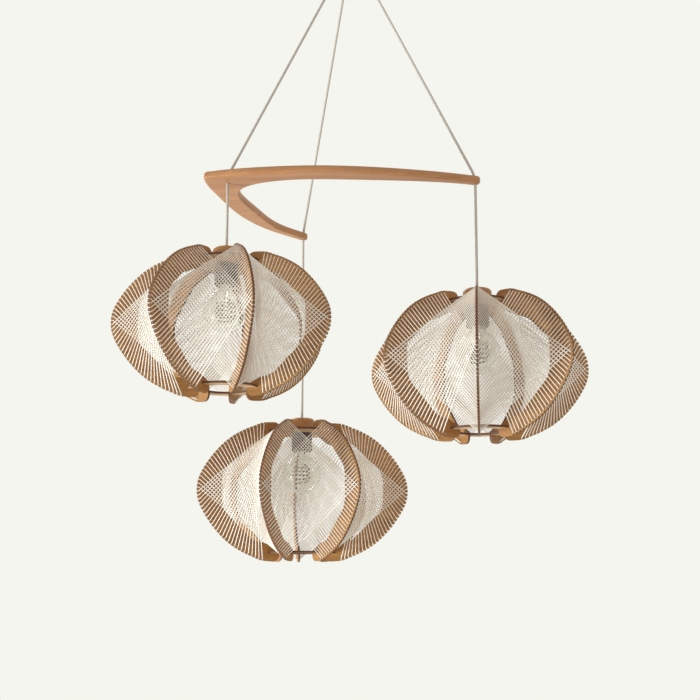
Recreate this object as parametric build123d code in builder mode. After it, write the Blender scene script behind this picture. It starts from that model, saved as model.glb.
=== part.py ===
from build123d import *
import math
import os

# A chandelier: three string-wound plywood globes hang from a boomerang of solid wood.
# The origin is the middle of the ceiling mount, +Z is up and the drop goes to minus Z.

# Spreader: hole to hole lengths of its arms, and the angle between them
long_arm = 453.5
short_arm = 343.3
arm_angle = 68.45
spreader_turn = 0.8
spreader_thickness = 14.0
spreader_edge = 4.5
spreader_drop = 517.0
tip_radius = 9.0
long_tip_angle = 17.0
short_tip_angle = 45.0
apex_angles = (180.0, 215.0, 250.0)

# Textile cords and the holes that they pass
cord_diameter = 5.0
cord_clearance = 0.3
cord_bend_radius = 15.0
hole_clearance = 0.7
hole_flare = 2.4

# Ceiling fitting
canopy_diameter = 110.0
canopy_height = 40.0
canopy_wall = 5.0
canopy_floor = 6.0
canopy_edge = 8.0
exit_radius = 18.0
grip_diameter = 10.0
grip_flange = 14.0
grip_flange_thickness = 2.0
grip_length = 16.0
grip_bend_drop = 4.5
bracket_width = 18.0
bracket_thickness = 2.0
bracket_tab = 20.0
ceiling_screw_hole = 5.0
ceiling_screw_spacing = 60.0
side_screw_diameter = 4.0
side_screw_length = 11.0
side_screw_level = 12.0
screw_head_diameter = 7.5
screw_head_thickness = 2.4
block_length = 50.0
block_width = 46.0
block_height = 13.0

# Globe shades: drop of each equator below the spreader, and its size against the first
shade_names = ["a", "b", "c"]
shade_drops = [266.5, 342.1, 539.5]
shade_size_shares = [1.0, 1.0, 1.086]
first_rib_angles = [-69.7, -97.2, -56.5]
shade_radius = 201.5
shade_half_height = 131.0
rib_count = 7
ply = 4.0
lap_clearance = 0.15
fit_clearance = 0.3
overrun = 3.0

# Plywood rings that the ribs lap with, near the top and bottom of the shade
ring_level_share = 0.873
ring_level = shade_half_height * ring_level_share
ring_outer = 65.0
ring_inner = 44.0
lap_radius = 54.5

# Half a rib in shares of the shade's radius and half height: its outer edge from the equator
# up to the foot, and the corners of the foot and the inner edge with their rounding radii
outer_shares = [(1.0, 0.0), (0.932, 0.33), (0.77, 0.65), (0.582, 0.86), (0.41, 0.975), (0.31, 1.0)]
inner_shares = [(0.2175, 1.005), (0.2175, 0.85), (0.35, 0.745), (0.45, 0.735), (0.7675, 0.26)]
inner_round_shares = [0.06, 0.015, 0.10, 0.19, 0.17]
inner_end_share = 0.7675

# Notches along the outer edge and the one string that is wound through them
half_notch_count = 12
notched_share = 0.94
notch_depth = 4.4
notch_mouth = 6.0
notch_floor = 4.8
string_diameter = 2.4
string_sides = 3
string_seat_depth = 1.9
string_bend_reach = 2.6
weave_rise = 9.0
weave_ease = 12.0

# Lamp holder, its shade ring and the turned cap over them
holder_diameter = 42.0
holder_height = 38.0
holder_bore = 27.6
holder_bore_depth = 31.0
holder_edge = 1.0
barrel_diameter = 34.0
barrel_height = 20.5
shade_ring_diameter = 46.0
shade_ring_height = 5.0
cap_diameter = 52.0
cap_height = 26.0
cap_recess_clearance = 0.6
cap_edge = 6.0
cord_socket_depth = 10.0

# Globe lamp with its screw base, glass stem and curled filament
globe_diameter = 80.0
globe_wall = 1.0
globe_drop = 47.0
neck_radius = 12.6
neck_angle = 28.0
base_diameter = 26.4
base_height = 22.0
base_taper = 1.0
base_tip_diameter = 12.0
base_tip_height = 5.0
stem_diameter = 9.0
stem_length = 34.0
filament_radius = 15.0
filament_wire = 2.0
filament_pitch = 7.0
filament_turns = 4
filament_steps = 10

os.makedirs("parts", exist_ok=True)

# Plan of the spreader, with its first hole at zero and its long arm along X, and the point
# at the same distance from all three holes, over which the ceiling fitting sits
short_x = short_arm * math.cos(math.radians(arm_angle))
short_y = short_arm * math.sin(math.radians(arm_angle))
centre_x = long_arm / 2
centre_y = (short_arm ** 2 - 2 * centre_x * short_x) / (2 * short_y)


def in_plan(x, y):
    """Turns a point of the spreader's own plan into the chandelier's frame."""
    turned = Vector(x - centre_x, y - centre_y).rotate(Axis.Z, spreader_turn)
    return turned.X, turned.Y


holes = [in_plan(0, 0), in_plan(long_arm, 0), in_plan(short_x, short_y)]
spreader_top = -spreader_drop
spreader_bottom = spreader_top - spreader_thickness


def save(part, name):
    """Labels a finished piece and writes it as one STEP file."""
    part.label = name
    export_step(part, f"parts/{name}.step")


def washer(height, level, radius, bore):
    """A flat ring between two radii, standing on a level."""
    with BuildPart() as ring:
        with BuildSketch(Plane.XY.offset(level)):
            Circle(radius)
            Circle(bore, mode=Mode.SUBTRACT)
        extrude(amount=height)
    return ring.part


# Ceiling fitting: a turned wooden cup over a steel strap, its side screws and a terminal block
with BuildPart() as canopy:
    with BuildSketch(Plane.XY.offset(-canopy_height)):
        Circle(canopy_diameter / 2)
    extrude(amount=canopy_height)
    rim = canopy.edges().group_by(Axis.Z)[0]
    fillet(rim, canopy_edge)
    with BuildSketch(Plane.XY.offset(-canopy_height + canopy_floor)):
        Circle(canopy_diameter / 2 - canopy_wall)
    extrude(amount=canopy_height, mode=Mode.SUBTRACT)
    with BuildSketch(Plane.XY.offset(-canopy_height - overrun)):
        for hx, hy in holes:
            reach = math.hypot(hx, hy)
            with Locations((exit_radius * hx / reach, exit_radius * hy / reach)):
                Circle(grip_diameter / 2 + lap_clearance)
    extrude(amount=canopy_floor + 2 * overrun, mode=Mode.SUBTRACT)
    with BuildSketch(Plane.YZ.offset(-canopy_diameter)):
        with Locations((0, -side_screw_level)):
            Circle(side_screw_diameter / 2 + lap_clearance)
    extrude(amount=2 * canopy_diameter, mode=Mode.SUBTRACT)
save(canopy.part, "canopy")

canopy_bore = canopy_diameter / 2 - canopy_wall
bracket_reach = math.sqrt(canopy_bore ** 2 - (bracket_width / 2) ** 2) - fit_clearance
tab_start = bracket_reach - bracket_thickness
with BuildPart() as bracket:
    with BuildSketch(Plane.XZ.offset(-bracket_width / 2)):
        with BuildLine():
            Polyline(
                (-bracket_reach, 0),
                (bracket_reach, 0),
                (bracket_reach, -bracket_tab),
                (tab_start, -bracket_tab),
                (tab_start, -bracket_thickness),
                (-tab_start, -bracket_thickness),
                (-tab_start, -bracket_tab),
                (-bracket_reach, -bracket_tab),
                close=True,
            )
        make_face()
    extrude(amount=bracket_width)
    with BuildSketch(Plane.XY.offset(-bracket_thickness - overrun)):
        with Locations((-ceiling_screw_spacing / 2, 0), (ceiling_screw_spacing / 2, 0)):
            Circle(ceiling_screw_hole / 2)
    extrude(amount=bracket_thickness + 2 * overrun, mode=Mode.SUBTRACT)
    with BuildSketch(Plane.YZ.offset(-canopy_diameter)):
        with Locations((0, -side_screw_level)):
            Circle(side_screw_diameter / 2 + lap_clearance)
    extrude(amount=2 * canopy_diameter, mode=Mode.SUBTRACT)
save(bracket.part, "ceiling_bracket")

with BuildPart() as side_screws:
    for side in (-1, 1):
        head_plane = Plane(origin=(side * canopy_diameter / 2, 0, -side_screw_level), z_dir=(side, 0, 0))
        with BuildSketch(head_plane):
            Circle(screw_head_diameter / 2)
        extrude(amount=screw_head_thickness)
        with BuildSketch(head_plane):
            Circle(side_screw_diameter / 2)
        extrude(amount=-side_screw_length)
save(side_screws.part, "canopy_screws")

with BuildPart() as terminal_block:
    with BuildSketch(Plane.XY.offset(-bracket_thickness - block_height)):
        RectangleRounded(block_length, block_width, cord_diameter / 2)
    extrude(amount=block_height)
save(terminal_block.part, "terminal_block")

# Cord grips in the canopy's floor, one for each cord
grip_plane = Plane.XY.offset(-canopy_height - grip_flange_thickness)
with BuildPart() as cord_grips:
    for hx, hy in holes:
        reach = math.hypot(hx, hy)
        with BuildSketch(grip_plane):
            with Locations((exit_radius * hx / reach, exit_radius * hy / reach)):
                Circle(grip_flange / 2)
                Circle(cord_diameter / 2 + cord_clearance, mode=Mode.SUBTRACT)
        extrude(amount=grip_flange_thickness)
        with BuildSketch(grip_plane):
            with Locations((exit_radius * hx / reach, exit_radius * hy / reach)):
                Circle(grip_diameter / 2)
                Circle(cord_diameter / 2 + cord_clearance, mode=Mode.SUBTRACT)
        extrude(amount=grip_length)
save(cord_grips.part, "cord_grips")

# Boomerang spreader, its outline in shares of the two arms, rounded over at both faces
apex_shares = (-0.073, -0.047)
near_edge_shares = [(0.143, -0.139), (0.372, -0.163), (0.755, -0.108)]
inner_edge_shares = [(0.759, -0.028), (0.45, -0.05), (0.209, -0.029)]
crotch_shares = [(0.053, 0.09), (0.085, 0.434), (0.177, 0.738)]
back_edge_shares = [(0.137, 0.781), (-0.003, 0.462), (-0.067, 0.16)]


def arm_points(shares):
    """Outline points from shares of the long arm across and the short arm back."""
    return [in_plan(x * long_arm, y * short_arm) for x, y in shares]


def rounded_end(middle, *angles):
    """Three points of a rounded end of the outline, at angles round its middle."""
    turns = [math.radians(angle + spreader_turn) for angle in angles]
    return [(middle[0] + tip_radius * math.cos(t), middle[1] + tip_radius * math.sin(t)) for t in turns]


def heading(angle):
    """Direction of the outline at an angle from the long arm."""
    return Vector(1, 0).rotate(Axis.Z, angle + spreader_turn)


long_tip = rounded_end(holes[1], long_tip_angle - 90, long_tip_angle, long_tip_angle + 90)
short_tip = rounded_end(holes[2], short_tip_angle - 90, short_tip_angle, short_tip_angle + 90)
apex = rounded_end(arm_points([apex_shares])[0], *apex_angles)
near_points = [apex[2]] + arm_points(near_edge_shares) + [long_tip[0]]
inner_points = [long_tip[2]] + arm_points(inner_edge_shares + crotch_shares) + [short_tip[0]]
back_points = [short_tip[2]] + arm_points(back_edge_shares) + [apex[0]]
with BuildPart() as spreader:
    with BuildSketch(Plane.XY.offset(spreader_bottom)):
        with BuildLine():
            ThreePointArc(*apex)
            Spline(near_points, tangents=[heading(apex_angles[2] + 90), heading(long_tip_angle)])
            ThreePointArc(*long_tip)
            Spline(inner_points, tangents=[-heading(long_tip_angle), heading(short_tip_angle)])
            ThreePointArc(*short_tip)
            Spline(back_points, tangents=[-heading(short_tip_angle), heading(apex_angles[0] + 90)])
        make_face()
    extrude(amount=spreader_thickness)
    fillet(spreader.faces().filter_by(Axis.Z).edges(), spreader_edge)
    with BuildSketch(Plane.XY.offset(spreader_bottom - overrun)):
        with Locations(*holes):
            Circle(cord_diameter / 2 + hole_clearance)
    extrude(amount=spreader_thickness + 2 * overrun, mode=Mode.SUBTRACT)
    hole_rims = spreader.edges().filter_by(GeomType.CIRCLE).group_by(Axis.Z)[-1]
    chamfer(hole_rims, hole_flare)
save(spreader.part, "spreader")

# One textile cord runs from the terminal block down through its grip to the spreader's hole
for name, (hx, hy) in zip(shade_names, holes):
    reach = math.hypot(hx, hy)
    ex, ey = exit_radius * hx / reach, exit_radius * hy / reach
    bend_level = -canopy_height - grip_flange_thickness - grip_bend_drop
    with BuildPart() as upper_cord:
        with BuildLine() as route:
            FilletPolyline(
                (ex, ey, -bracket_thickness - block_height),
                (ex, ey, bend_level),
                (hx, hy, spreader_top),
                (hx, hy, spreader_bottom),
                radius=cord_bend_radius,
            )
        with BuildSketch(Plane(origin=route.line @ 0, z_dir=route.line % 0)):
            Circle(cord_diameter / 2)
        sweep()
    save(upper_cord.part, f"upper_cord_{name}")
print("upper cords: bend radius", cord_bend_radius, "with cord diameter", cord_diameter)


def outer_edge(scale):
    """Smooth outer edge of a rib's upper half, from the equator to the foot."""
    radius, height = shade_radius * scale, shade_half_height * scale
    return Spline([(radius * x, height * y) for x, y in outer_shares], tangents=[(0, 1), (-1, 0)])


def notch_spots(scale):
    """Middle of each notch on the outer edge, from the equator up, and the edge's direction."""
    edge = outer_edge(scale)
    shares = [notched_share * (index + 0.5) / half_notch_count for index in range(half_notch_count)]
    return [(edge @ share, edge % share) for share in shares]


def notched_edge(scale):
    """Points of the outer edge with a tapered notch at every spot."""
    edge = outer_edge(scale)
    points = [edge @ 0]
    for middle, along in notch_spots(scale):
        inward = Vector(-along.Y, along.X) * notch_depth
        points += [
            middle - along * (notch_mouth / 2),
            middle - along * (notch_floor / 2) + inward,
            middle + along * (notch_floor / 2) + inward,
            middle + along * (notch_mouth / 2),
        ]
    return points + [edge @ 1]


def rib_blank(scale):
    """One plywood rib standing on the XZ plane: notched outer edge, laps for both rings."""
    radius, height = shade_radius * scale, shade_half_height * scale
    notched = notched_edge(scale)
    inner = [notched[-1]] + [(radius * x, height * y) for x, y in inner_shares]
    inner_end = (radius * inner_end_share, 0)
    with BuildPart() as rib:
        with BuildSketch(Plane.XZ):
            with BuildLine():
                Polyline(*notched)
                FilletPolyline(*inner, inner_end, radius=[radius * share for share in inner_round_shares])
                Line(inner_end, notched[0])
            make_face()
            with Locations((0, ring_level * scale)):
                lap_reach = lap_radius * scale + lap_clearance
                Rectangle(2 * lap_reach, ply + 2 * lap_clearance, mode=Mode.SUBTRACT)
            mirror(about=Plane.XZ)
        extrude(amount=ply / 2, both=True)
    return rib.part


def string_seats(scale):
    """Radius and height of the string in each notch of an upper half rib, from the top down."""
    seats = []
    for middle, along in reversed(notch_spots(scale)):
        seat = middle + Vector(-along.Y, along.X) * string_seat_depth
        seats.append((seat.X, seat.Y))
    return seats


def string_route(scale):
    """The string's points: square through an upper notch, across to the next rib's lower one,
    back up to the rib after that, and round again until every notch is filled."""
    upper = string_seats(scale)
    lower = [(radius, -height) for radius, height in reversed(upper)]
    side = ply / 2 + string_bend_reach

    def place(seat, rib, across):
        return Vector(seat[0], across, seat[1]).rotate(Axis.Z, 360 * rib / rib_count)

    points = []
    for index in range(half_notch_count):
        for leg in range(2 * rib_count):
            rises = leg % 2 == 1
            seat = lower[index] if rises else upper[index]
            points += [place(seat, leg, -side), place(seat, leg, side)]
            last_leg = leg == 2 * rib_count - 1
            if not rises or (last_leg and index == half_notch_count - 1):
                continue
            here = points[-1]
            there = place(upper[index + 1] if last_leg else upper[index], leg + 1, -side)
            along = (there - here).normalized() * weave_ease
            outward = ((here + there) / 2).normalized() * weave_rise
            points += [here + along + outward, there - along + outward]
    return points


def least_gap(points):
    """Least distance between two stretches of the string that aren't neighbours, less its width."""
    nearest = math.inf
    spans = list(zip(points[:-1], points[1:]))
    for first, (a, b) in enumerate(spans):
        for c, d in spans[first + 2:]:
            u, v, w = b - a, d - c, a - c
            uu, vv, uv, uw, vw = u.dot(u), v.dot(v), u.dot(v), u.dot(w), v.dot(w)
            spread = uu * vv - uv * uv
            s = min(max((uv * vw - uw * vv) / spread, 0), 1) if spread > 0 else 0
            t = min(max((uv * s + vw) / vv, 0), 1)
            s = min(max((uv * t - uw) / uu, 0), 1)
            nearest = min(nearest, (w + u * s - v * t).length)
    return nearest - string_diameter


def string_winding(scale):
    """One unbroken string through all notches, of the same section area as a round one."""
    points = string_route(scale)
    print("string winding: loops", 2 * half_notch_count, "least gap", round(least_gap(points), 2))
    corner = string_diameter / 2 * math.sqrt(2 * math.pi / (string_sides * math.sin(2 * math.pi / string_sides)))
    with BuildPart() as winding:
        with BuildLine() as route:
            Polyline(*points)
        with BuildSketch(Plane(origin=route.line @ 0, z_dir=route.line % 0)):
            RegularPolygon(corner, string_sides)
        sweep(transition=Transition.RIGHT)
    return winding.part


def lapped_ring(scale, bore):
    """A plywood ring in the XY plane, slotted from its outer edge for every rib."""
    with BuildPart() as ring:
        with BuildSketch(Plane.XY.offset(-ply / 2)):
            Circle(ring_outer * scale)
            Circle(bore, mode=Mode.SUBTRACT)
            slot_start = lap_radius * scale - lap_clearance
            slot_length = ring_outer * scale + overrun - slot_start
            with PolarLocations(slot_start + slot_length / 2, rib_count):
                Rectangle(slot_length, ply + 2 * lap_clearance, mode=Mode.SUBTRACT)
        extrude(amount=ply)
    return ring.part


def lamp_fittings(disc_top):
    """Lamp holder, shade ring, cap and lamp, hung on the axis with the disc's top at a level."""
    disc_bottom = disc_top - ply
    holder_top = disc_bottom - fit_clearance
    mouth = holder_top - holder_height
    barrel_top = disc_top + barrel_height
    with BuildPart() as holder:
        with BuildSketch(Plane.XY.offset(mouth)):
            Circle(holder_diameter / 2)
        extrude(amount=holder_height)
        chamfer(holder.edges().group_by(Axis.Z)[0], holder_edge)
        with BuildSketch(Plane.XY.offset(holder_top)):
            Circle(barrel_diameter / 2)
        extrude(amount=barrel_top - holder_top)
        with BuildSketch(Plane.XY.offset(mouth)):
            Circle(holder_bore / 2)
        extrude(amount=holder_bore_depth, mode=Mode.SUBTRACT)
        with BuildSketch(Plane.XY.offset(barrel_top)):
            Circle(cord_diameter / 2 + cord_clearance)
        extrude(amount=-cord_socket_depth, mode=Mode.SUBTRACT)

    ring_bore = barrel_diameter / 2 + lap_clearance
    shade_ring = washer(shade_ring_height, disc_top + fit_clearance, shade_ring_diameter / 2, ring_bore)

    cap_base = disc_top + fit_clearance
    recess_radius = shade_ring_diameter / 2 + cap_recess_clearance
    with BuildPart() as cap:
        with BuildSketch(Plane.XY.offset(cap_base)):
            Circle(cap_diameter / 2)
        extrude(amount=cap_height)
        fillet(cap.edges().group_by(Axis.Z)[-1], cap_edge)
        with BuildSketch(Plane.XY.offset(cap_base)):
            Circle(recess_radius)
        extrude(amount=barrel_top - cap_base, mode=Mode.SUBTRACT)
        with BuildSketch(Plane.XY.offset(cap_base)):
            Circle(cord_diameter / 2 + cord_clearance)
        extrude(amount=cap_height, mode=Mode.SUBTRACT)

    with BuildPart() as globe:
        with BuildSketch(Plane.XZ):
            with BuildLine():
                middle = (0, mouth - globe_drop)
                ends = []
                for wall in (0, globe_wall):
                    bowl = CenterArc(middle, globe_diameter / 2 - wall, -90, 180 - neck_angle)
                    shoulder_reach = (bowl @ 1).X - neck_radius + wall
                    shoulder_radius = shoulder_reach / (1 - math.sin(math.radians(neck_angle)))
                    shoulder = JernArc(bowl @ 1, bowl % 1, shoulder_radius, neck_angle - 90)
                    neck = Line(shoulder @ 1, (neck_radius - wall, mouth))
                    ends += [bowl @ 0, neck @ 1]
                Line(ends[0], ends[2])
                Line(ends[1], ends[3])
            make_face()
        revolve(axis=Axis.Z)

    with BuildPart() as base:
        with BuildSketch(Plane.XY.offset(mouth)):
            Circle(base_diameter / 2)
        extrude(amount=base_height)
        top = base.faces().sort_by(Axis.Z)[-1]
        with BuildSketch(top):
            Circle(base_diameter / 2 - base_taper)
        with BuildSketch(Plane.XY.offset(mouth + base_height + base_tip_height)):
            Circle(base_tip_diameter / 2)
        loft()

    curl_top = mouth - stem_length / 2
    curl_bottom = curl_top - filament_turns * filament_pitch
    curl_points = [Vector(0, 0, curl_top)]
    for step in range(filament_turns * filament_steps + 1):
        spin = 360 * step / filament_steps
        drop = filament_pitch * step / filament_steps
        curl_points.append(Vector(filament_radius, 0, curl_top - drop).rotate(Axis.Z, spin))
    curl_points += [Vector(0, 0, curl_bottom), Vector(0, 0, mouth - stem_length + filament_wire)]
    with BuildPart() as filament:
        with BuildLine() as curl:
            Polyline(*curl_points)
        with BuildSketch(Plane(origin=curl.line @ 0, z_dir=curl.line % 0)):
            RegularPolygon(filament_wire / 2, string_sides)
        sweep(transition=Transition.RIGHT)
        with BuildSketch(Plane.XY.offset(mouth)):
            Circle(stem_diameter / 2)
        extrude(amount=-stem_length)

    return {
        "lamp_holder": holder.part,
        "shade_ring": shade_ring,
        "cord_cap": cap.part,
        "globe_glass": globe.part,
        "globe_base": base.part,
        "globe_filament": filament.part,
    }


shapes = {}
for scale in sorted(set(shade_size_shares)):
    disc_bore = barrel_diameter / 2 + fit_clearance
    shapes[scale] = {
        "rib": rib_blank(scale),
        "top_ring": lapped_ring(scale, disc_bore),
        "bottom_ring": lapped_ring(scale, ring_inner * scale),
        "string_winding": string_winding(scale),
        "fittings": lamp_fittings(ring_level * scale + ply / 2),
    }

# The three shades, each under its own hole of the spreader
for name, hole, drop, scale, first_angle in zip(
    shade_names, holes, shade_drops, shade_size_shares, first_rib_angles
):
    shape = shapes[scale]
    hub = Location((hole[0], hole[1], spreader_bottom - drop), (0, 0, first_angle))
    for index in range(rib_count):
        turned = hub * Location((0, 0, 0), (0, 0, 360 * index / rib_count))
        save(shape["rib"].moved(turned), f"rib_{name}{index + 1}")
    save(shape["top_ring"].moved(hub * Location((0, 0, ring_level * scale))), f"top_ring_{name}")
    save(shape["bottom_ring"].moved(hub * Location((0, 0, -ring_level * scale))), f"bottom_ring_{name}")
    save(shape["string_winding"].moved(hub), f"string_winding_{name}")
    for piece, solid in shape["fittings"].items():
        save(solid.moved(hub), f"{piece}_{name}")

    cord_end = spreader_bottom - drop + ring_level * scale + ply / 2 + barrel_height - cord_socket_depth
    with BuildPart() as drop_cord:
        with BuildSketch(Plane.XY.offset(cord_end)):
            with Locations(hole):
                Circle(cord_diameter / 2)
        extrude(amount=spreader_bottom - fit_clearance - cord_end)
    save(drop_cord.part, f"drop_cord_{name}")
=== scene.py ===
import math
import random

import bmesh
import bpy
from mathutils import Matrix, Vector


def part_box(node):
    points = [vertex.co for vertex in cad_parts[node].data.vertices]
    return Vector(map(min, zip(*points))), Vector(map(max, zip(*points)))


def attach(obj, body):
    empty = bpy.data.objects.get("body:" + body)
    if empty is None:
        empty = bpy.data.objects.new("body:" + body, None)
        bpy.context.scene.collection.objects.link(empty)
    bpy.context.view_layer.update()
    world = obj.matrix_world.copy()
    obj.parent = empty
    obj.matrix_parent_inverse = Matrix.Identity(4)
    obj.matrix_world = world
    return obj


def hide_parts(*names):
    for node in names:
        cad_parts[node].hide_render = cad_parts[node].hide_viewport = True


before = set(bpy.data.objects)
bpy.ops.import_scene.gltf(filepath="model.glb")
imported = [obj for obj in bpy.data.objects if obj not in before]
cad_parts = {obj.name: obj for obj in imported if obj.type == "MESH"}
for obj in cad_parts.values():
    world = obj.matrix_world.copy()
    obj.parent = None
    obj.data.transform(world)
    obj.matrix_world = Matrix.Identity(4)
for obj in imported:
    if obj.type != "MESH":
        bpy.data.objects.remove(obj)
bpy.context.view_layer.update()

# Sizes in metres, in the chandelier's own frame: the ceiling mount is at zero, +Z is up
SPREADER_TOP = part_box("spreader")[1].z
SPREADER_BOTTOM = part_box("spreader")[0].z
CORD_DIAMETER = 0.005
CORD_STEPS = 12
CORD_SIDES_LEVEL = 4
CORD_GAP = 0.0003
EXIT_LEVEL = -0.015
BEND_LEVEL = -0.0465
EXIT_RADIUS = 0.018
STRAIGHT_STEP = 0.03

SHADE_RADIUS = 0.2015
SHADE_HALF_HEIGHT = 0.131
RIB_COUNT = 7
FIRST_RIB_DEGREES = {"a": -69.7, "b": -97.2, "c": -56.5}
PLY = 0.004
RING_LEVEL = SHADE_HALF_HEIGHT * 0.873
TOP_RING_RADIUS = 0.065
LAP_RADIUS = 0.0545
LAP_CLEARANCE = 0.00015
MERGE_DISTANCE = 1e-6
GRAIN_SHIFT = 3

# Half a rib in shares of the shade's radius and half height
OUTER_SHARES = [(1.0, 0.0), (0.986, 0.154), (0.934, 0.324), (0.854, 0.504), (0.759, 0.666), (0.665, 0.784),
                (0.559, 0.878), (0.466, 0.94), (0.39, 0.986), (0.31, 1.0)]
INNER_SHARES = [(0.2175, 1.005), (0.2175, 0.85), (0.35, 0.745), (0.45, 0.735), (0.7675, 0.26)]
INNER_BEVEL_SHARES = [0.060, 0.010, 0.020, 0.070, 0.070]
INNER_END_SHARE = 0.7675
CORNER_SEGMENTS = 6
OUTLINE_STEPS = 24

NOTCHES_PER_HALF = 26
NOTCHED_SHARE = 0.95
NOTCH_DEPTH = 0.0046
NOTCH_MOUTH = 0.0024
NOTCH_FLOOR = 0.0019
STRING_DIAMETER = 0.0017
STRING_SEAT = 0.0037
STRING_SIDES_LEVEL = 1
STRING_SPAN_STOPS = (0.02, 0.2, 0.5, 0.8, 0.98)
WEAVE_OUT = 0.0034
STRING_JITTER = 0.00008

GLOBE_RADIUS = 0.040
GLOBE_WALL = 0.0009
GLOBE_DROP = 0.047
GLOBE_STEPS = 28
GLOBE_SEGMENTS = 72
NECK_RADIUS = 0.0126
NECK_ANGLE = math.radians(28)
NECK_STEPS = 8
FILAMENT_RADIUS = 0.019
FILAMENT_WAIST = 0.72
FILAMENT_SWELL = 0.28
FILAMENT_HEIGHT = 0.036
FILAMENT_TURNS = 4.5
FILAMENT_TURN_STEPS = 28
FILAMENT_WIRE = 0.0022
FILAMENT_LEAD = 0.004
FILAMENT_TAIL = 0.002
FILAMENT_SIDES_LEVEL = 2

STEM_TIP = 0.003
STEM_RADIUS = 0.0012
STEM_SHOULDER_RADIUS = 0.0030
STEM_NECK_RADIUS = 0.0042
STEM_NECK_DROP = 0.012
STEM_FOOT_RADIUS = 0.0075
STEM_SEGMENTS = 32

PALE_BACKGROUND = (0.904, 0.913, 0.855)
FLOOR_LEVEL = -4.2
FLOOR_RADIUS = 7.0
FLOOR_SIDES = 96
FLOOR_FADE = (3.0, 4.6)
FILL_COLOR = (1.0, 0.94, 0.86)
FILL_STRENGTH = 0.63

# Name, place, target, size, power and colour of each soft lamp
LAMPS = [
    ("key", (-4.32, -1.28, -2.85), (0, 0, -0.85), 1.9, 256, (0.87, 0.955, 1.0)),
    ("top_back", (-1.4, 1.8, 0.9), (0, 0, -0.9), 1.4, 30, (1, 1, 1)),
]

CAMERA_LENS = 53.65
CAMERA_SHIFT = 0.12
CAMERA_PLACE = (0.0115, -1.9251, -1.2468)
CAMERA_TILT = math.radians(7.876)
CAMERA_TURN = math.radians(0.411)
CAMERA_REACH = 50

# Sockets of a Mix node for colours: its two inputs and its result
MIX_FIRST, MIX_SECOND, MIX_RESULT = 6, 7, 2

random.seed(7)


def shade_places():
    """Hub, size and first rib's angle of each shade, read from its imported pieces."""
    places = {}
    for name, angle in FIRST_RIB_DEGREES.items():
        low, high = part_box(f"top_ring_{name}")
        scale = (high.x - low.x) / 2 / TOP_RING_RADIUS
        hub = Vector(((low.x + high.x) / 2, (low.y + high.y) / 2, (low.z + high.z) / 2 - RING_LEVEL * scale))
        places[name] = (hub, scale, math.radians(angle))
    return places


SHADES = shade_places()


# Shader helpers

def new_material(name, color, roughness, metallic=0.0):
    """A Principled material, and its nodes and links."""
    material = bpy.data.materials.new(name)
    material.use_nodes = True
    nodes, links = material.node_tree.nodes, material.node_tree.links
    shader = nodes["Principled BSDF"]
    shader.inputs["Base Color"].default_value = (*color, 1)
    shader.inputs["Roughness"].default_value = roughness
    shader.inputs["Metallic"].default_value = metallic
    return material, nodes, links, shader


def ramp_node(nodes, stops):
    """A colour ramp with the given (position, colour) stops."""
    ramp = nodes.new("ShaderNodeValToRGB")
    elements = ramp.color_ramp.elements
    elements[0].position, elements[0].color = stops[0][0], (*stops[0][1], 1)
    elements[1].position, elements[1].color = stops[-1][0], (*stops[-1][1], 1)
    for position, color in stops[1:-1]:
        elements.new(position).color = (*color, 1)
    return ramp


def mix_node(nodes, blend_type="MIX"):
    """A Mix node for two colours."""
    mix = nodes.new("ShaderNodeMix")
    mix.data_type = "RGBA"
    mix.blend_type = blend_type
    return mix


def wood_grain_group():
    """Grain that runs along X of the Vector, between two colours: outputs the colour and a height."""
    group = bpy.data.node_groups.new("wood_grain", "ShaderNodeTree")
    group.interface.new_socket("Vector", in_out="INPUT", socket_type="NodeSocketVector")
    group.interface.new_socket("Light", in_out="INPUT", socket_type="NodeSocketColor")
    group.interface.new_socket("Dark", in_out="INPUT", socket_type="NodeSocketColor")
    group.interface.new_socket("Color", in_out="OUTPUT", socket_type="NodeSocketColor")
    group.interface.new_socket("Height", in_out="OUTPUT", socket_type="NodeSocketFloat")
    nodes, links = group.nodes, group.links
    source, result = nodes.new("NodeGroupInput"), nodes.new("NodeGroupOutput")
    stretch = nodes.new("ShaderNodeMapping")
    stretch.inputs["Scale"].default_value = (4, 60, 60)
    links.new(source.outputs["Vector"], stretch.inputs["Vector"])
    bands = nodes.new("ShaderNodeTexNoise")
    bands.inputs["Scale"].default_value = 1.0
    bands.inputs["Detail"].default_value = 5
    bands.inputs["Distortion"].default_value = 0.6
    links.new(stretch.outputs["Vector"], bands.inputs["Vector"])
    fleck_stretch = nodes.new("ShaderNodeMapping")
    fleck_stretch.inputs["Scale"].default_value = (60, 900, 900)
    links.new(source.outputs["Vector"], fleck_stretch.inputs["Vector"])
    flecks = nodes.new("ShaderNodeTexNoise")
    flecks.inputs["Scale"].default_value = 1.0
    flecks.inputs["Detail"].default_value = 2
    links.new(fleck_stretch.outputs["Vector"], flecks.inputs["Vector"])
    contrast = ramp_node(nodes, [(0.35, (0, 0, 0)), (0.65, (1, 1, 1))])
    links.new(bands.outputs["Fac"], contrast.inputs["Fac"])
    blend = mix_node(nodes)
    links.new(contrast.outputs["Color"], blend.inputs["Factor"])
    links.new(source.outputs["Light"], blend.inputs[MIX_FIRST])
    links.new(source.outputs["Dark"], blend.inputs[MIX_SECOND])
    fleck_ramp = ramp_node(nodes, [(0.30, (0.80, 0.80, 0.80)), (0.48, (1, 1, 1))])
    links.new(flecks.outputs["Fac"], fleck_ramp.inputs["Fac"])
    darken = mix_node(nodes, "MULTIPLY")
    darken.inputs["Factor"].default_value = 1.0
    links.new(blend.outputs[MIX_RESULT], darken.inputs[MIX_FIRST])
    links.new(fleck_ramp.outputs["Color"], darken.inputs[MIX_SECOND])
    links.new(darken.outputs[MIX_RESULT], result.inputs["Color"])
    links.new(flecks.outputs["Fac"], result.inputs["Height"])
    return group


WOOD_GRAIN = wood_grain_group()


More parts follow.
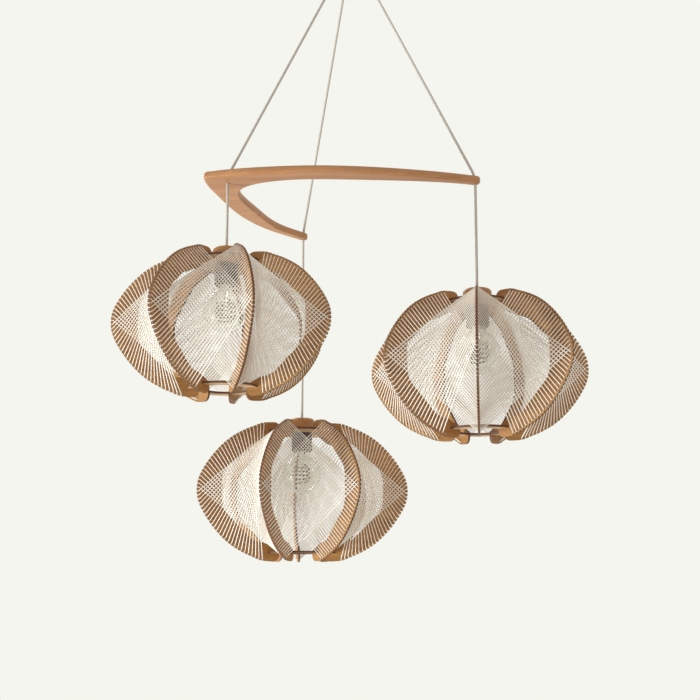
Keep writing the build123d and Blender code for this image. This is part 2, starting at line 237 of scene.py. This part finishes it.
def grain_node(nodes, light, dark):
    """The shared wood grain with its own two colours."""
    grain = nodes.new("ShaderNodeGroup")
    grain.node_tree = WOOD_GRAIN
    grain.inputs["Light"].default_value = (*light, 1)
    grain.inputs["Dark"].default_value = (*dark, 1)
    return grain


def add_bump(nodes, links, shader, height, strength, distance):
    """Lets a height raise the surface a little, in metres."""
    bump = nodes.new("ShaderNodeBump")
    bump.inputs["Strength"].default_value = strength
    bump.inputs["Distance"].default_value = distance
    links.new(height, bump.inputs["Height"])
    links.new(bump.outputs["Normal"], shader.inputs["Normal"])


def solid_wood(name, light, dark):
    """Oiled solid wood, its grain along the chandelier's X."""
    material, nodes, links, shader = new_material(name, light, 0.42)
    place = nodes.new("ShaderNodeTexCoord")
    grain = grain_node(nodes, light, dark)
    links.new(place.outputs["Object"], grain.inputs["Vector"])
    links.new(grain.outputs["Color"], shader.inputs["Base Color"])
    add_bump(nodes, links, shader, grain.outputs["Height"], 0.12, 0.0004)
    return material


def plywood_face(name, light, dark):
    """Face veneer of a rib, its grain in the rib's own UV map."""
    material, nodes, links, shader = new_material(name, light, 0.55)
    place = nodes.new("ShaderNodeUVMap")
    place.uv_map = "rib_plan"
    grain = grain_node(nodes, light, dark)
    links.new(place.outputs["UV"], grain.inputs["Vector"])
    links.new(grain.outputs["Color"], shader.inputs["Base Color"])
    add_bump(nodes, links, shader, grain.outputs["Height"], 0.10, 0.0003)
    return material


def scorched_edge():
    """Cut edge of the ribs' plywood: scorched brown, darker in the middle veneer, a little mottled."""
    material, nodes, links, shader = new_material("rib_cut_edge", (0.10, 0.045, 0.02), 0.7)
    depth = nodes.new("ShaderNodeAttribute")
    depth.attribute_name = "ply_depth"
    layers = ramp_node(nodes, [
        (0.00, (0.20, 0.095, 0.045)), (0.30, (0.16, 0.07, 0.035)), (0.36, (0.045, 0.018, 0.010)),
        (0.64, (0.045, 0.018, 0.010)), (0.70, (0.16, 0.07, 0.035)), (1.00, (0.20, 0.095, 0.045)),
    ])
    links.new(depth.outputs["Fac"], layers.inputs["Fac"])
    mottle = nodes.new("ShaderNodeTexNoise")
    mottle.inputs["Scale"].default_value = 260
    place = nodes.new("ShaderNodeTexCoord")
    links.new(place.outputs["Object"], mottle.inputs["Vector"])
    lighten = mix_node(nodes, "ADD")
    lighten.inputs[MIX_SECOND].default_value = (0.10, 0.05, 0.025, 1)
    links.new(mottle.outputs["Fac"], lighten.inputs["Factor"])
    links.new(layers.outputs["Color"], lighten.inputs[MIX_FIRST])
    links.new(lighten.outputs[MIX_RESULT], shader.inputs["Base Color"])
    return material


def plywood_ring():
    """Plywood of the rings: grain on the flat faces, scorched brown where the normal lies level."""
    material, nodes, links, shader = new_material("ring_plywood", (0.6, 0.4, 0.2), 0.55)
    place = nodes.new("ShaderNodeTexCoord")
    grain = grain_node(nodes, (0.62, 0.40, 0.23), (0.50, 0.30, 0.16))
    links.new(place.outputs["Object"], grain.inputs["Vector"])
    parts = nodes.new("ShaderNodeSeparateXYZ")
    links.new(place.outputs["Normal"], parts.inputs["Vector"])
    flat = nodes.new("ShaderNodeMath")
    flat.operation = "ABSOLUTE"
    links.new(parts.outputs["Z"], flat.inputs[0])
    mix = mix_node(nodes)
    mix.inputs[MIX_FIRST].default_value = (0.13, 0.055, 0.028, 1)
    links.new(flat.outputs["Value"], mix.inputs["Factor"])
    links.new(grain.outputs["Color"], mix.inputs[MIX_SECOND])
    links.new(mix.outputs[MIX_RESULT], shader.inputs["Base Color"])
    return material


def spun_string():
    """Pale cotton string: matt, with fine fibres and slow changes of tone along its length."""
    material, nodes, links, shader = new_material("cotton_string", (0.90, 0.85, 0.77), 0.85)
    place = nodes.new("ShaderNodeTexCoord")
    tone = nodes.new("ShaderNodeTexNoise")
    tone.inputs["Scale"].default_value = 14
    tone.inputs["Detail"].default_value = 3
    links.new(place.outputs["Object"], tone.inputs["Vector"])
    colors = ramp_node(nodes, [(0.30, (0.88, 0.81, 0.71)), (0.60, (0.96, 0.92, 0.86))])
    links.new(tone.outputs["Fac"], colors.inputs["Fac"])
    links.new(colors.outputs["Color"], shader.inputs["Base Color"])
    fibre = nodes.new("ShaderNodeTexNoise")
    fibre.inputs["Scale"].default_value = 1500
    links.new(place.outputs["Object"], fibre.inputs["Vector"])
    add_bump(nodes, links, shader, fibre.outputs["Fac"], 0.2, 0.0002)
    return material


def braided_textile():
    """Pale textile of the cords, a fine braid of two crossing sets of yarns."""
    material, nodes, links, shader = new_material("braided_textile", (0.60, 0.56, 0.50), 0.8)
    shader.inputs["Sheen Weight"].default_value = 0.4
    place = nodes.new("ShaderNodeTexCoord")
    heights = []
    for turn in (math.radians(35), math.radians(-35)):
        lean = nodes.new("ShaderNodeMapping")
        lean.inputs["Rotation"].default_value = (turn, turn, 0)
        links.new(place.outputs["Object"], lean.inputs["Vector"])
        wave = nodes.new("ShaderNodeTexWave")
        wave.bands_direction = "Z"
        wave.inputs["Scale"].default_value = 420
        links.new(lean.outputs["Vector"], wave.inputs["Vector"])
        heights.append(wave.outputs["Fac"])
    woven = nodes.new("ShaderNodeMath")
    woven.operation = "MAXIMUM"
    links.new(heights[0], woven.inputs[0])
    links.new(heights[1], woven.inputs[1])
    colors = ramp_node(nodes, [(0.1, (0.46, 0.42, 0.37)), (0.8, (0.66, 0.62, 0.56))])
    links.new(woven.outputs["Value"], colors.inputs["Fac"])
    links.new(colors.outputs["Color"], shader.inputs["Base Color"])
    add_bump(nodes, links, shader, woven.outputs["Value"], 0.5, 0.0004)
    return material


def clear_glass():
    """Clear glass of the lamps."""
    material, _, _, shader = new_material("lamp_glass", (0.93, 0.95, 0.92), 0.0)
    shader.inputs["Transmission Weight"].default_value = 1.0
    shader.inputs["IOR"].default_value = 1.45
    return material


def plain_finish(name, color, roughness, metallic=0.0):
    """Moulded plastic or metal with a fine surface grain."""
    material, nodes, links, shader = new_material(name, color, roughness, metallic)
    place = nodes.new("ShaderNodeTexCoord")
    noise = nodes.new("ShaderNodeTexNoise")
    noise.inputs["Scale"].default_value = 400
    links.new(place.outputs["Object"], noise.inputs["Vector"])
    add_bump(nodes, links, shader, noise.outputs["Fac"], 0.05, 0.0002)
    spread = ramp_node(nodes, [(0.3, (roughness * 0.8,) * 3), (0.7, (min(1, roughness * 1.2),) * 3)])
    links.new(noise.outputs["Fac"], spread.inputs["Fac"])
    links.new(spread.outputs["Color"], shader.inputs["Roughness"])
    return material


SPREADER_WOOD = solid_wood("spreader_beech", (0.54, 0.256, 0.11), (0.435, 0.192, 0.075))
TURNED_WOOD = solid_wood("turned_beech", (0.49, 0.235, 0.085), (0.40, 0.175, 0.06))
RIB_FACE = plywood_face("rib_veneer", (0.46, 0.225, 0.068), (0.335, 0.152, 0.041))
RIB_EDGE = scorched_edge()
RING_PLY = plywood_ring()
STRING = spun_string()
TEXTILE = braided_textile()
GLASS = clear_glass()
HOLDER_GREY = plain_finish("holder_grey", (0.085, 0.078, 0.078), 0.42)
NICKEL = plain_finish("nickel", (0.62, 0.60, 0.56), 0.3, 1.0)
ZINC = plain_finish("zinc_steel", (0.27, 0.28, 0.29), 0.65, 1.0)
WHITE_PLASTIC = plain_finish("white_plastic", (0.52, 0.52, 0.50), 0.5)
PALE_PLASTIC = plain_finish("pale_plastic", (0.60, 0.57, 0.52), 0.5)
AMBER = plain_finish("amber_filament", (0.09, 0.035, 0.010), 0.35)


# Mesh helpers

def finish_mesh(name, bm, materials):
    """A piece at the origin from a finished bmesh."""
    mesh = bpy.data.meshes.new(name)
    bm.to_mesh(mesh)
    bm.free()
    for material in materials:
        mesh.materials.append(material)
    piece = bpy.data.objects.new(name, mesh)
    bpy.context.scene.collection.objects.link(piece)
    return piece


def smooth_line(points, start, end):
    """Points on a smooth line through the given ones, with directions at both ends."""
    spots = [Vector((x, z)) for x, z in points]
    headings = [(b - a).normalized() for a, b in zip(spots[:-2], spots[2:])]
    headings = [Vector(start)] + headings + [Vector(end)]
    line = []
    for index in range(len(spots) - 1):
        a, b = spots[index], spots[index + 1]
        reach = (b - a).length
        u, v = headings[index] * reach, headings[index + 1] * reach
        for step in range(OUTLINE_STEPS):
            t = step / OUTLINE_STEPS
            eased = 3 * t**2 - 2 * t**3
            line.append(a * (1 - eased) + b * eased + u * (t**3 - 2 * t**2 + t) + v * (t**3 - t**2))
    return line + [spots[-1]]


def spots_along(line, shares):
    """Point and direction at each share of a line's length."""
    lengths = [0.0]
    for a, b in zip(line[:-1], line[1:]):
        lengths.append(lengths[-1] + (b - a).length)
    found = []
    for share in shares:
        target = share * lengths[-1]
        index = max(i for i, length in enumerate(lengths[:-1]) if length <= target)
        a, b = line[index], line[index + 1]
        rest = (target - lengths[index]) / (lengths[index + 1] - lengths[index])
        found.append((a.lerp(b, rest), (b - a).normalized()))
    return found


def outer_line(scale):
    """The rib's outer edge from the equator up to the foot, without its notches."""
    points = [(x * SHADE_RADIUS * scale, z * SHADE_HALF_HEIGHT * scale) for x, z in OUTER_SHARES]
    return smooth_line(points, (0, 1), (-1, 0))


def notch_spots(scale):
    """Middle and direction of each notch of the upper half."""
    shares = [NOTCHED_SHARE * (i + 0.5) / NOTCHES_PER_HALF for i in range(NOTCHES_PER_HALF)]
    return spots_along(outer_line(scale), shares)


def rib_outline(scale):
    """The upper half's outline: the notched outer edge, then the inner corners down to the equator."""
    line = outer_line(scale)
    points = [line[0]]
    for middle, along in notch_spots(scale):
        inward = Vector((-along.y, along.x)) * NOTCH_DEPTH
        points += [
            middle - along * NOTCH_MOUTH / 2,
            middle - along * NOTCH_FLOOR / 2 + inward,
            middle + along * NOTCH_FLOOR / 2 + inward,
            middle + along * NOTCH_MOUTH / 2,
        ]
    points.append(line[-1])
    points += [Vector((x * SHADE_RADIUS * scale, z * SHADE_HALF_HEIGHT * scale)) for x, z in INNER_SHARES]
    points.append(Vector((INNER_END_SHARE * SHADE_RADIUS * scale, 0)))
    return points


def cut_lap(bm, scale):
    """Slot from the foot's inner edge, where the rib laps with a ring."""
    gap = PLY / 2 + LAP_CLEARANCE
    level, reach = RING_LEVEL * scale, LAP_RADIUS * scale + LAP_CLEARANCE
    up, out = (0, 0, 1), (1, 0, 0)
    for spot, facing in (((0, 0, level - gap), up), ((0, 0, level + gap), up), ((reach, 0, 0), out)):
        whole = bm.verts[:] + bm.edges[:] + bm.faces[:]
        bmesh.ops.bisect_plane(bm, geom=whole, plane_co=spot, plane_no=facing)
    slot = []
    for face in bm.faces:
        middle = face.calc_center_median()
        if middle.x < reach and abs(middle.z - level) < gap:
            slot.append(face)
    bmesh.ops.delete(bm, geom=slot, context="FACES")
    bmesh.ops.dissolve_faces(bm, faces=bm.faces[:])


def rib_mesh(scale):
    """One rib standing on the XZ plane as a bmesh: outline, rounded corners, mirrored, given its ply."""
    bm = bmesh.new()
    points = rib_outline(scale)
    verts = [bm.verts.new((p.x, -PLY / 2, p.y)) for p in points]
    bm.faces.new(verts)
    corners = verts[-1 - len(INNER_SHARES):-1]
    for corner, share in zip(corners, INNER_BEVEL_SHARES):
        bmesh.ops.bevel(bm, geom=[corner], offset=share * SHADE_RADIUS * scale, affect="VERTICES",
                        segments=CORNER_SEGMENTS, profile=0.5, material=-1)
    cut_lap(bm, scale)
    whole = bm.verts[:] + bm.edges[:] + bm.faces[:]
    bmesh.ops.mirror(bm, geom=whole, axis="Z", merge_dist=MERGE_DISTANCE)
    bmesh.ops.recalc_face_normals(bm, faces=bm.faces[:])
    level_edges = [e for e in bm.edges if all(abs(v.co.z) < MERGE_DISTANCE for v in e.verts)]
    seam = [e for e in level_edges if len(e.link_faces) == 2]
    bmesh.ops.dissolve_edges(bm, edges=seam, use_verts=False)
    grown = bmesh.ops.extrude_face_region(bm, geom=bm.faces[:])
    raised = [g for g in grown["geom"] if isinstance(g, bmesh.types.BMVert)]
    bmesh.ops.translate(bm, vec=(0, PLY, 0), verts=raised)
    bmesh.ops.recalc_face_normals(bm, faces=bm.faces[:])
    plan = bm.loops.layers.uv.new("rib_plan")
    depth = bm.verts.layers.float.new("ply_depth")
    for vert in bm.verts:
        vert[depth] = vert.co.y / PLY + 0.5
    for face in bm.faces:
        face.material_index = 0 if abs(face.normal.y) > 0.5 else 1
        for loop in face.loops:
            loop[plan].uv = (loop.vert.co.x, loop.vert.co.z)
    return bm


def make_ribs(name):
    """Seven ribs of one shade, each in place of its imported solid."""
    hub, scale, first = SHADES[name]
    for index in range(RIB_COUNT):
        bm = rib_mesh(scale)
        plan = bm.loops.layers.uv["rib_plan"]
        shift = Vector((random.uniform(0, GRAIN_SHIFT), random.uniform(0, GRAIN_SHIFT)))
        for face in bm.faces:
            for loop in face.loops:
                loop[plan].uv = loop[plan].uv + shift
        turn = first + index * math.tau / RIB_COUNT
        stand = Matrix.Translation(hub) @ Matrix.Rotation(turn, 4, "Z")
        bmesh.ops.transform(bm, matrix=stand, verts=bm.verts[:])
        rib = finish_mesh(f"plywood_rib_{name}{index + 1}", bm, [RIB_FACE, RIB_EDGE])
        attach(rib, f"shade_{name}")
        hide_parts(f"rib_{name}{index + 1}")


def string_points(name):
    """Centre line of the whole string of one shade, notch by notch."""
    hub, scale, first = SHADES[name]
    seats = [m + Vector((-d.y, d.x)) * STRING_SEAT for m, d in notch_spots(scale)]
    upper = [(s.x, s.y) for s in reversed(seats)]
    lower = [(s.x, -s.y) for s in seats]
    step = math.tau / RIB_COUNT

    def place(seat, rib, across):
        """Where a seat's point lies on one rib, so far across the ply."""
        turn = first + rib * step
        c, s = math.cos(turn), math.sin(turn)
        return hub + Vector((seat[0] * c - across * s, seat[0] * s + across * c, seat[1]))

    legs = []
    for index in range(NOTCHES_PER_HALF):
        for leg in range(2 * RIB_COUNT):
            seat = lower[index] if leg % 2 else upper[index]
            wobble = random.uniform(-STRING_JITTER, STRING_JITTER)
            legs.append(((seat[0], seat[1] + wobble), leg, leg % 2 == 1))
    points = []
    for number, (seat, rib, rises) in enumerate(legs):
        inner_in = place(seat, rib, -PLY / 2)
        inner_out = place(seat, rib, PLY / 2)
        points += [inner_in, inner_out]
        if number + 1 == len(legs):
            break
        next_seat, next_rib, _ = legs[number + 1]
        there = place(next_seat, next_rib, -PLY / 2)
        span = there - inner_out
        middle = (there + inner_out) / 2
        outward = (middle - hub).normalized() * (WEAVE_OUT if rises else 0.0)
        for t in STRING_SPAN_STOPS:
            points.append(inner_out + span * t + outward * (1 - (2 * t - 1) ** 2))
    return points


def tube_mesh(name, points, radius, material, sides_level):
    """A round tube along a centre line, as a mesh piece."""
    data = bpy.data.curves.new(f"{name}_line", "CURVE")
    data.dimensions = "3D"
    line = data.splines.new("POLY")
    line.points.add(len(points) - 1)
    for spot, point in zip(line.points, points):
        spot.co = (*point, 1)
    data.bevel_depth = radius
    data.bevel_resolution = sides_level
    data.use_fill_caps = True
    loose = bpy.data.objects.new(f"{name}_line", data)
    bpy.context.scene.collection.objects.link(loose)
    bpy.context.view_layer.update()
    mesh = bpy.data.meshes.new_from_object(loose.evaluated_get(bpy.context.evaluated_depsgraph_get()))
    bpy.data.objects.remove(loose)
    mesh.materials.clear()
    mesh.materials.append(material)
    for polygon in mesh.polygons:
        polygon.use_smooth = True
    piece = bpy.data.objects.new(name, mesh)
    bpy.context.scene.collection.objects.link(piece)
    return piece


def make_string(name):
    """The one string of a shade as a round tube along its centre line."""
    piece = tube_mesh(f"cotton_string_{name}", string_points(name), STRING_DIAMETER / 2, STRING,
                      STRING_SIDES_LEVEL)
    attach(piece, f"shade_{name}")
    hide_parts(f"string_winding_{name}")


def spin_profile(name, profile, centre, material, segments):
    """A turned piece from (radius, height) points, spun about the vertical through a centre."""
    bm = bmesh.new()
    verts = [bm.verts.new((centre.x + r, centre.y, centre.z + h)) for r, h in profile]
    edges = [bm.edges.new(pair) for pair in zip(verts[:-1], verts[1:])]
    bmesh.ops.spin(bm, geom=verts + edges, cent=centre, axis=(0, 0, 1), angle=math.tau, steps=segments,
                   use_merge=True)
    bmesh.ops.remove_doubles(bm, verts=bm.verts[:], dist=MERGE_DISTANCE)
    bmesh.ops.recalc_face_normals(bm, faces=bm.faces[:])
    piece = finish_mesh(name, bm, [material])
    for polygon in piece.data.polygons:
        polygon.use_smooth = True
    return piece


def glass_line(radius, neck, mouth):
    """Profile of the globe from its lowest point up to the neck's mouth."""
    middle = mouth - GLOBE_DROP
    sweep = math.pi - NECK_ANGLE
    line = []
    for step in range(GLOBE_STEPS + 1):
        angle = sweep * step / GLOBE_STEPS
        line.append((radius * math.sin(angle), middle - radius * math.cos(angle)))
    bowl_radius, bowl_height = line[-1]
    bend = (bowl_radius - neck) / (1 - math.sin(NECK_ANGLE))
    for step in range(1, NECK_STEPS + 1):
        angle = NECK_ANGLE + (math.pi / 2 - NECK_ANGLE) * step / NECK_STEPS
        rise = bend * (math.cos(NECK_ANGLE) - math.cos(angle))
        line.append((neck + bend * (1 - math.sin(angle)), bowl_height + rise))
    return line + [(neck, mouth)]


def make_filament(name, axis, mouth):
    """Amber filament curled round the lamp's glass stem, centred in the globe."""
    steps = int(FILAMENT_TURNS * FILAMENT_TURN_STEPS)
    top = mouth - GLOBE_DROP + FILAMENT_HEIGHT / 2
    points = [Vector((axis.x, axis.y, top + FILAMENT_LEAD))]
    for step in range(steps + 1):
        t = step / steps
        turn = math.tau * FILAMENT_TURNS * t
        reach = FILAMENT_RADIUS * (FILAMENT_WAIST + FILAMENT_SWELL * math.sin(math.pi * t))
        x, y = axis.x + reach * math.cos(turn), axis.y + reach * math.sin(turn)
        points.append(Vector((x, y, top - FILAMENT_HEIGHT * t)))
    points.append(Vector((axis.x, axis.y, top - FILAMENT_HEIGHT - FILAMENT_TAIL)))
    curl = tube_mesh(f"amber_curl_{name}", points, FILAMENT_WIRE / 2, AMBER, FILAMENT_SIDES_LEVEL)
    profile = [
        (0.0, top - FILAMENT_HEIGHT - STEM_TIP),
        (STEM_RADIUS, top - FILAMENT_HEIGHT - FILAMENT_TAIL),
        (STEM_RADIUS, top),
        (STEM_SHOULDER_RADIUS, top + FILAMENT_LEAD),
        (STEM_NECK_RADIUS, mouth - STEM_NECK_DROP),
        (STEM_FOOT_RADIUS, mouth),
        (0.0, mouth),
    ]
    stem = spin_profile(f"glass_stem_{name}", profile, axis, GLASS, STEM_SEGMENTS)
    for piece, slot in ((curl, "lamp_filament"), (stem, "lamp_glass")):
        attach(piece, f"lamp_{name}")
        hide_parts(f"globe_filament_{name}")


def make_lamp(name):
    """Clear globe with its wall, and the filament in it."""
    low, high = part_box(f"globe_glass_{name}")
    axis = Vector(((low.x + high.x) / 2, (low.y + high.y) / 2, 0))
    mouth = high.z
    outside = glass_line(GLOBE_RADIUS, NECK_RADIUS, mouth)
    inside = glass_line(GLOBE_RADIUS - GLOBE_WALL, NECK_RADIUS - GLOBE_WALL, mouth)
    glass = spin_profile(f"clear_globe_{name}", outside + inside[::-1], axis, GLASS, GLOBE_SEGMENTS)
    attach(glass, f"lamp_{name}")
    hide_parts(f"globe_glass_{name}")
    make_filament(name, axis, mouth)


def make_cord(name, points, body, node):
    """A taut textile cord on one smooth line through its route."""
    data = bpy.data.curves.new(name, "CURVE")
    data.dimensions = "3D"
    line = data.splines.new("NURBS")
    line.points.add(len(points) - 1)
    for spot, point in zip(line.points, points):
        spot.co = (*point, 1)
    line.order_u = 3
    line.use_endpoint_u = True
    line.resolution_u = CORD_STEPS
    data.bevel_depth = CORD_DIAMETER / 2
    data.bevel_resolution = CORD_SIDES_LEVEL
    data.use_fill_caps = True
    data.materials.append(TEXTILE)
    cord = bpy.data.objects.new(name, data)
    bpy.context.scene.collection.objects.link(cord)
    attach(cord, body)
    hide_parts(node)


def make_cords():
    """Upper cords from the canopy to the spreader, and drop cords from there into the holders."""
    for name, (hub, _, _) in SHADES.items():
        hole = Vector((hub.x, hub.y, 0))
        leave = hole.normalized() * EXIT_RADIUS
        start = Vector((leave.x, leave.y, EXIT_LEVEL))
        bend = Vector((leave.x, leave.y, BEND_LEVEL))
        top = Vector((hub.x, hub.y, SPREADER_TOP))
        along = (top - bend).normalized() * STRAIGHT_STEP
        bottom = Vector((hub.x, hub.y, SPREADER_BOTTOM))
        make_cord(f"upper_textile_{name}", [start, bend, bend + along, top - along, top, bottom],
                  "ceiling_frame", f"upper_cord_{name}")
        end = Vector((hub.x, hub.y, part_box(f"drop_cord_{name}")[0].z + CORD_GAP))
        under = bottom - Vector((0, 0, CORD_GAP))
        make_cord(f"drop_textile_{name}", [under, (under + end) / 2, end],
                  f"cord_{name}", f"drop_cord_{name}")


def paint(node, material):
    """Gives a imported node's object its material."""
    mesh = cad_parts[node].data
    mesh.materials.clear()
    mesh.materials.append(material)


def paint_nodes():
    """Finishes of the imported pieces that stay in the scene."""
    paint("spreader", SPREADER_WOOD)
    paint("canopy", TURNED_WOOD)
    paint("ceiling_bracket", ZINC)
    paint("canopy_screws", ZINC)
    paint("terminal_block", WHITE_PLASTIC)
    paint("cord_grips", PALE_PLASTIC)
    for name in SHADES:
        paint(f"cord_cap_{name}", TURNED_WOOD)
        paint(f"lamp_holder_{name}", HOLDER_GREY)
        paint(f"shade_ring_{name}", HOLDER_GREY)
        paint(f"top_ring_{name}", RING_PLY)
        paint(f"bottom_ring_{name}", RING_PLY)
        paint(f"globe_base_{name}", NICKEL)


def make_camera():
    """Camera at the photograph's place, partly tilted and partly shifted: other views stay whole."""
    data = bpy.data.cameras.new("view")
    data.lens = CAMERA_LENS
    data.shift_y = CAMERA_SHIFT
    data.clip_end = CAMERA_REACH
    camera = bpy.data.objects.new("view", data)
    camera.location = CAMERA_PLACE
    camera.rotation_euler = (math.pi / 2 + CAMERA_TILT, 0, CAMERA_TURN)
    bpy.context.scene.collection.objects.link(camera)
    bpy.context.scene.camera = camera


def area_light(name, place, target, size, power, color):
    """A round soft lamp at a place, turned to its target."""
    data = bpy.data.lights.new(name, "AREA")
    data.shape = "DISK"
    data.size = size
    data.energy = power
    data.color = color
    light = bpy.data.objects.new(name, data)
    light.location = place
    light.rotation_euler = (Vector(target) - Vector(place)).to_track_quat("-Z", "Y").to_euler()
    bpy.context.scene.collection.objects.link(light)


def background_rays(nodes, links):
    """1 on the rays that show the pale background: from the camera, through glass and off gloss."""
    path = nodes.new("ShaderNodeLightPath")
    shown = path.outputs["Is Camera Ray"]
    for kind in ("Is Transmission Ray", "Is Glossy Ray"):
        either = nodes.new("ShaderNodeMath")
        either.operation = "MAXIMUM"
        links.new(shown, either.inputs[0])
        links.new(path.outputs[kind], either.inputs[1])
        shown = either.outputs["Value"]
    return shown


def pale_floor():
    """Matt floor that keeps the shadow and fades into the pale background further out."""
    material, nodes, links, shader = new_material("pale_floor", PALE_BACKGROUND, 0.9)
    place = nodes.new("ShaderNodeTexCoord")
    reach = nodes.new("ShaderNodeVectorMath")
    reach.operation = "LENGTH"
    links.new(place.outputs["Object"], reach.inputs[0])
    fade = nodes.new("ShaderNodeMapRange")
    fade.inputs["From Min"].default_value = FLOOR_FADE[0]
    fade.inputs["From Max"].default_value = FLOOR_FADE[1]
    links.new(reach.outputs["Value"], fade.inputs["Value"])
    share = nodes.new("ShaderNodeMath")
    share.operation = "MULTIPLY"
    links.new(fade.outputs["Result"], share.inputs[0])
    links.new(background_rays(nodes, links), share.inputs[1])
    pale = nodes.new("ShaderNodeEmission")
    pale.inputs["Color"].default_value = (*PALE_BACKGROUND, 1)
    mix = nodes.new("ShaderNodeMixShader")
    links.new(share.outputs["Value"], mix.inputs["Fac"])
    links.new(shader.outputs["BSDF"], mix.inputs[1])
    links.new(pale.outputs["Emission"], mix.inputs[2])
    links.new(mix.outputs["Shader"], nodes["Material Output"].inputs["Surface"])
    return material


def make_studio():
    """Pale floor, pale world and soft lamps."""
    bm = bmesh.new()
    bmesh.ops.create_circle(bm, cap_ends=True, segments=FLOOR_SIDES, radius=FLOOR_RADIUS)
    bmesh.ops.translate(bm, vec=(0, 0, FLOOR_LEVEL), verts=bm.verts[:])
    finish_mesh("floor", bm, [pale_floor()])
    world = bpy.data.worlds.new("studio")
    bpy.context.scene.world = world
    world.use_nodes = True
    nodes, links = world.node_tree.nodes, world.node_tree.links
    nodes.clear()
    seen = nodes.new("ShaderNodeBackground")
    seen.inputs["Color"].default_value = (*PALE_BACKGROUND, 1)
    fill = nodes.new("ShaderNodeBackground")
    fill.inputs["Color"].default_value = (*FILL_COLOR, 1)
    fill.inputs["Strength"].default_value = FILL_STRENGTH
    mix = nodes.new("ShaderNodeMixShader")
    links.new(background_rays(nodes, links), mix.inputs["Fac"])
    links.new(fill.outputs["Background"], mix.inputs[1])
    links.new(seen.outputs["Background"], mix.inputs[2])
    output = nodes.new("ShaderNodeOutputWorld")
    links.new(mix.outputs["Shader"], output.inputs["Surface"])
    for lamp in LAMPS:
        area_light(*lamp)


make_camera()
make_cords()
paint_nodes()
for shade in SHADES:
    make_ribs(shade)
    make_string(shade)
    make_lamp(shade)
make_studio()
bpy.context.scene.view_settings.view_transform = "Standard"
